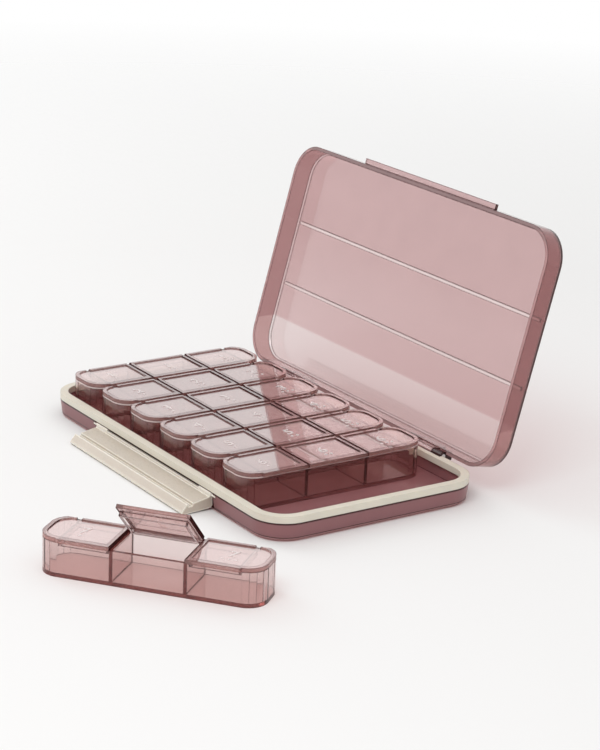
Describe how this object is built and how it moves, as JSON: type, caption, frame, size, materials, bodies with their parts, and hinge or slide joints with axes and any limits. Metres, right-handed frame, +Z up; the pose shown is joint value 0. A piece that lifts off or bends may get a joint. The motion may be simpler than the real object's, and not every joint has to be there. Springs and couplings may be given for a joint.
{
  "type": "weekly pill organizer",
  "caption": "Hinged case with a sealed rim and long latch, holding a row of lift-out daily boxes, each with separate hinged-lid compartments.",
  "frame": {"origin": "centre of the case's underside, on the surface it stands on", "axes": "+X along the row of daily boxes, +Y along each box towards the lid's hinge, +Z up"},
  "size_m": [0.2286, 0.2282, 0.1115],
  "materials": {
    "tinted_base": "glossy translucent mauve",
    "tinted_lid": "glossy translucent pink-brown",
    "tinted_tray": "glossy translucent pink-brown",
    "tinted_box_lid": "glossy translucent pink",
    "cream_seal": "satin",
    "cream_latch": "satin",
    "steel_pin": "drawn wire"
  },
  "bodies": {
    "case": {"base_tray": "tinted_base", "seal_ring": "cream_seal", "lid_hinge_pin_left": "steel_pin", "lid_hinge_pin_right": "steel_pin"},
    "case_lid": {"case_lid": "tinted_lid"},
    "latch_flap": {"latch_flap": "cream_latch"},
    "day_1_box": {"day_1_tray": "tinted_tray"},
    "day_1_lid_front": {"day_1_lid_front": "tinted_box_lid"},
    "day_1_lid_middle": {"day_1_lid_middle": "tinted_box_lid"},
    "day_1_lid_back": {"day_1_lid_back": "tinted_box_lid"},
    "day_2_box": {"day_2_tray": "tinted_tray"},
    "day_2_lid_front": {"day_2_lid_front": "tinted_box_lid"},
    "day_2_lid_middle": {"day_2_lid_middle": "tinted_box_lid"},
    "day_2_lid_back": {"day_2_lid_back": "tinted_box_lid"},
    "day_3_box": {"day_3_tray": "tinted_tray"},
    "day_3_lid_front": {"day_3_lid_front": "tinted_box_lid"},
    "day_3_lid_middle": {"day_3_lid_middle": "tinted_box_lid"},
    "day_3_lid_back": {"day_3_lid_back": "tinted_box_lid"},
    "day_4_box": {"day_4_tray": "tinted_tray"},
    "day_4_lid_front": {"day_4_lid_front": "tinted_box_lid"},
    "day_4_lid_middle": {"day_4_lid_middle": "tinted_box_lid"},
    "day_4_lid_back": {"day_4_lid_back": "tinted_box_lid"},
    "day_5_box": {"day_5_tray": "tinted_tray"},
    "day_5_lid_front": {"day_5_lid_front": "tinted_box_lid"},
    "day_5_lid_middle": {"day_5_lid_middle": "tinted_box_lid"},
    "day_5_lid_back": {"day_5_lid_back": "tinted_box_lid"},
    "day_6_box": {"day_6_tray": "tinted_tray"},
    "day_6_lid_front": {"day_6_lid_front": "tinted_box_lid"},
    "day_6_lid_middle": {"day_6_lid_middle": "tinted_box_lid"},
    "day_6_lid_back": {"day_6_lid_back": "tinted_box_lid"},
    "day_7_box": {"day_7_tray": "tinted_tray"},
    "day_7_lid_front": {"day_7_lid_front": "tinted_box_lid"},
    "day_7_lid_middle": {"day_7_lid_middle": "tinted_box_lid"},
    "day_7_lid_back": {"day_7_lid_back": "tinted_box_lid"}
  },
  "joints": [
    {"name": "case_lid_hinge", "type": "hinge", "parent": "case", "child": "case_lid", "pos_m": [0, 0.0525, 0.0104], "axis": [-1, 0, 0], "range_deg": [-105, 0]},
    {"name": "latch_hinge", "type": "hinge", "parent": "case", "child": "latch_flap", "pos_m": [0, -0.0509, 0.0066], "axis": [1, 0, 0], "range_deg": [-92, 0]},
    {"name": "day_1_lift", "type": "slide", "parent": "case", "child": "day_1_box", "axis": [0, 0, 1], "range_m": [0, 0.04]},
    {"name": "day_1_lid_front_hinge", "type": "hinge", "parent": "day_1_box", "child": "day_1_lid_front", "pos_m": [-0.0853, 0, 0.0171], "axis": [0, -1, 0], "range_deg": [0, 100]},
    {"name": "day_1_lid_middle_hinge", "type": "hinge", "parent": "day_1_box", "child": "day_1_lid_middle", "pos_m": [-0.0853, 0, 0.0171], "axis": [0, -1, 0], "range_deg": [0, 100]},
    {"name": "day_1_lid_back_hinge", "type": "hinge", "parent": "day_1_box", "child": "day_1_lid_back", "pos_m": [-0.0853, 0, 0.0171], "axis": [0, -1, 0], "range_deg": [0, 100]},
    {"name": "day_2_lift", "type": "slide", "parent": "case", "child": "day_2_box", "axis": [0, 0, 1], "range_m": [0, 0.04]},
    {"name": "day_2_lid_front_hinge", "type": "hinge", "parent": "day_2_box", "child": "day_2_lid_front", "pos_m": [-0.0603, 0, 0.0171], "axis": [0, -1, 0], "range_deg": [0, 100]},
    {"name": "day_2_lid_middle_hinge", "type": "hinge", "parent": "day_2_box", "child": "day_2_lid_middle", "pos_m": [-0.0603, 0, 0.0171], "axis": [0, -1, 0], "range_deg": [0, 100]},
    {"name": "day_2_lid_back_hinge", "type": "hinge", "parent": "day_2_box", "child": "day_2_lid_back", "pos_m": [-0.0603, 0, 0.0171], "axis": [0, -1, 0], "range_deg": [0, 100]},
    {"name": "day_3_lift", "type": "slide", "parent": "case", "child": "day_3_box", "axis": [0, 0, 1], "range_m": [0, 0.04]},
    {"name": "day_3_lid_front_hinge", "type": "hinge", "parent": "day_3_box", "child": "day_3_lid_front", "pos_m": [-0.0353, 0, 0.0171], "axis": [0, -1, 0], "range_deg": [0, 100]},
    {"name": "day_3_lid_middle_hinge", "type": "hinge", "parent": "day_3_box", "child": "day_3_lid_middle", "pos_m": [-0.0353, 0, 0.0171], "axis": [0, -1, 0], "range_deg": [0, 100]},
    {"name": "day_3_lid_back_hinge", "type": "hinge", "parent": "day_3_box", "child": "day_3_lid_back", "pos_m": [-0.0353, 0, 0.0171], "axis": [0, -1, 0], "range_deg": [0, 100]},
    {"name": "day_4_lift", "type": "slide", "parent": "case", "child": "day_4_box", "axis": [0, 0, 1], "range_m": [0, 0.04]},
    {"name": "day_4_lid_front_hinge", "type": "hinge", "parent": "day_4_box", "child": "day_4_lid_front", "pos_m": [-0.0103, 0, 0.0171], "axis": [0, -1, 0], "range_deg": [0, 100]},
    {"name": "day_4_lid_middle_hinge", "type": "hinge", "parent": "day_4_box", "child": "day_4_lid_middle", "pos_m": [-0.0103, 0, 0.0171], "axis": [0, -1, 0], "range_deg": [0, 100]},
    {"name": "day_4_lid_back_hinge", "type": "hinge", "parent": "day_4_box", "child": "day_4_lid_back", "pos_m": [-0.0103, 0, 0.0171], "axis": [0, -1, 0], "range_deg": [0, 100]},
    {"name": "day_5_lift", "type": "slide", "parent": "case", "child": "day_5_box", "axis": [0, 0, 1], "range_m": [0, 0.04]},
    {"name": "day_5_lid_front_hinge", "type": "hinge", "parent": "day_5_box", "child": "day_5_lid_front", "pos_m": [0.0147, 0, 0.0171], "axis": [0, -1, 0], "range_deg": [0, 100]},
    {"name": "day_5_lid_middle_hinge", "type": "hinge", "parent": "day_5_box", "child": "day_5_lid_middle", "pos_m": [0.0147, 0, 0.0171], "axis": [0, -1, 0], "range_deg": [0, 100]},
    {"name": "day_5_lid_back_hinge", "type": "hinge", "parent": "day_5_box", "child": "day_5_lid_back", "pos_m": [0.0147, 0, 0.0171], "axis": [0, -1, 0], "range_deg": [0, 100]},
    {"name": "day_6_lift", "type": "slide", "parent": "case", "child": "day_6_box", "axis": [0, 0, 1], "range_m": [0, 0.04]},
    {"name": "day_6_lid_front_hinge", "type": "hinge", "parent": "day_6_box", "child": "day_6_lid_front", "pos_m": [0.0397, 0, 0.0171], "axis": [0, -1, 0], "range_deg": [0, 100]},
    {"name": "day_6_lid_middle_hinge", "type": "hinge", "parent": "day_6_box", "child": "day_6_lid_middle", "pos_m": [0.0397, 0, 0.0171], "axis": [0, -1, 0], "range_deg": [0, 100]},
    {"name": "day_6_lid_back_hinge", "type": "hinge", "parent": "day_6_box", "child": "day_6_lid_back", "pos_m": [0.0397, 0, 0.0171], "axis": [0, -1, 0], "range_deg": [0, 100]},
    {"name": "day_7_lift", "type": "slide", "parent": "case", "child": "day_7_box", "axis": [0, 0, 1], "range_m": [0, 0.04]},
    {"name": "day_7_lid_front_hinge", "type": "hinge", "parent": "day_7_box", "child": "day_7_lid_front", "pos_m": [0.09175, -0.09747, 0.0145], "axis": [-0.7793, -0.6266, 0], "range_deg": [0, 100]},
    {"name": "day_7_lid_middle_hinge", "type": "hinge", "parent": "day_7_box", "child": "day_7_lid_middle", "pos_m": [0.09175, -0.09747, 0.0145], "axis": [-0.7793, -0.6266, 0], "range_deg": [-42, 58]},
    {"name": "day_7_lid_back_hinge", "type": "hinge", "parent": "day_7_box", "child": "day_7_lid_back", "pos_m": [0.09175, -0.09747, 0.0145], "axis": [-0.7793, -0.6266, 0], "range_deg": [0, 100]}
  ]
}
